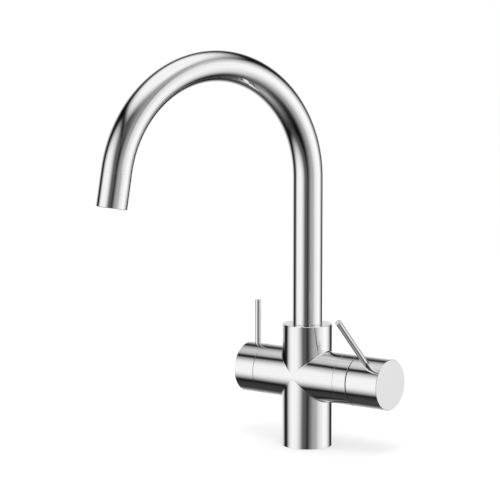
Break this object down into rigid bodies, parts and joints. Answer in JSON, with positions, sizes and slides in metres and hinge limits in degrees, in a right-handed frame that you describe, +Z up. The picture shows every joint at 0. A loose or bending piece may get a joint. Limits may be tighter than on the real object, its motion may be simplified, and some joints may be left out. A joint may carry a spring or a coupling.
{
  "type": "drinking water filter tap",
  "caption": "Deck-mounted drinking water filter tap: a cross-shaped body with an arched swivel spout, a mixer handle with pin lever at one side and a filtered water handle at the other.",
  "frame": {"origin": "centre of the foot's underside, on the body's axis, at worktop level", "axes": "+Z up the body, +X along the barrel towards the mixer handle, -Y to the front, where the spout points when it isn't swung aside"},
  "size_m": [0.1799, 0.2639, 0.4],
  "materials": {
    "polished_chrome": "mirror-polished chrome plate on brass",
    "brass": "bare turned brass",
    "stainless_steel": "stainless steel, machined",
    "black_rubber": "black sealing rubber",
    "white_ceramic": "lapped alumina ceramic",
    "white_plastic": "white moulded plastic",
    "grey_plastic": "grey glass-filled plastic"
  },
  "bodies": {
    "tap": {"tap_body": "polished_chrome", "base_seal": "black_rubber", "spout_glide_ring": "white_plastic", "spout_keeper_screw": "stainless_steel", "mixer_base_seal": "black_rubber", "mixer_cartridge_base": "white_plastic", "mixer_cartridge_housing": "grey_plastic", "mixer_fixed_disc": "white_ceramic", "mixer_retaining_nut": "brass", "mixer_shroud": "polished_chrome", "filter_valve_seal": "black_rubber", "filter_valve_body": "brass", "filter_fixed_disc": "white_ceramic"},
    "spout": {"spout_tube": "polished_chrome", "spout_collar": "polished_chrome", "spout_spigot": "brass", "spout_seal_lower": "black_rubber", "spout_seal_upper": "black_rubber", "nipple_seal": "black_rubber", "filtered_water_tube": "white_plastic", "spout_nose": "polished_chrome", "aerator_body": "white_plastic", "aerator_screen": "stainless_steel", "aerator_seal": "black_rubber", "filtered_nozzle": "white_plastic"},
    "filter_control": {"filter_handle": "polished_chrome", "filter_lever": "polished_chrome", "filter_handle_screw": "stainless_steel", "filter_spindle": "brass", "filter_moving_disc": "white_ceramic", "filter_spindle_seal": "black_rubber", "filter_spindle_clip": "stainless_steel"},
    "mixer_turret": {"mixer_rotor": "white_plastic", "mixer_pivot_pin": "stainless_steel"},
    "mixer_control": {"mixer_handle": "polished_chrome", "mixer_lever": "polished_chrome", "mixer_handle_screw": "stainless_steel", "mixer_stem": "stainless_steel"},
    "mixer_disc": {"mixer_moving_disc": "white_ceramic", "mixer_disc_carrier": "white_plastic"}
  },
  "joints": [
    {"name": "spout_swivel", "type": "hinge", "parent": "tap", "child": "spout", "pos_m": [0, 0, 0.11], "axis": [0, 0, 1], "continuous": true},
    {"name": "filter_lever_turn", "type": "hinge", "parent": "tap", "child": "filter_control", "pos_m": [-0.06, 0, 0.0724], "axis": [1, 0, 0], "range_deg": [0, 90]},
    {"name": "mixer_temperature_turn", "type": "hinge", "parent": "tap", "child": "mixer_turret", "pos_m": [0.0407, 0, 0.0724], "axis": [1, 0, 0], "range_deg": [-45, 45]},
    {"name": "mixer_flow_tilt", "type": "hinge", "parent": "mixer_turret", "child": "mixer_control", "pos_m": [0.0407, 0, 0.0724], "axis": [0, 0.7071, 0.7071], "range_deg": [0, 13]},
    {"name": "mixer_disc_slide", "type": "slide", "parent": "mixer_turret", "child": "mixer_disc", "axis": [0, -0.7071, 0.7071], "range_m": [0, 0.00171]}
  ],
  "couplings": [
    {"joint": "mixer_disc_slide", "follows": "mixer_flow_tilt", "m_per_rad": 0.0075}
  ]
}
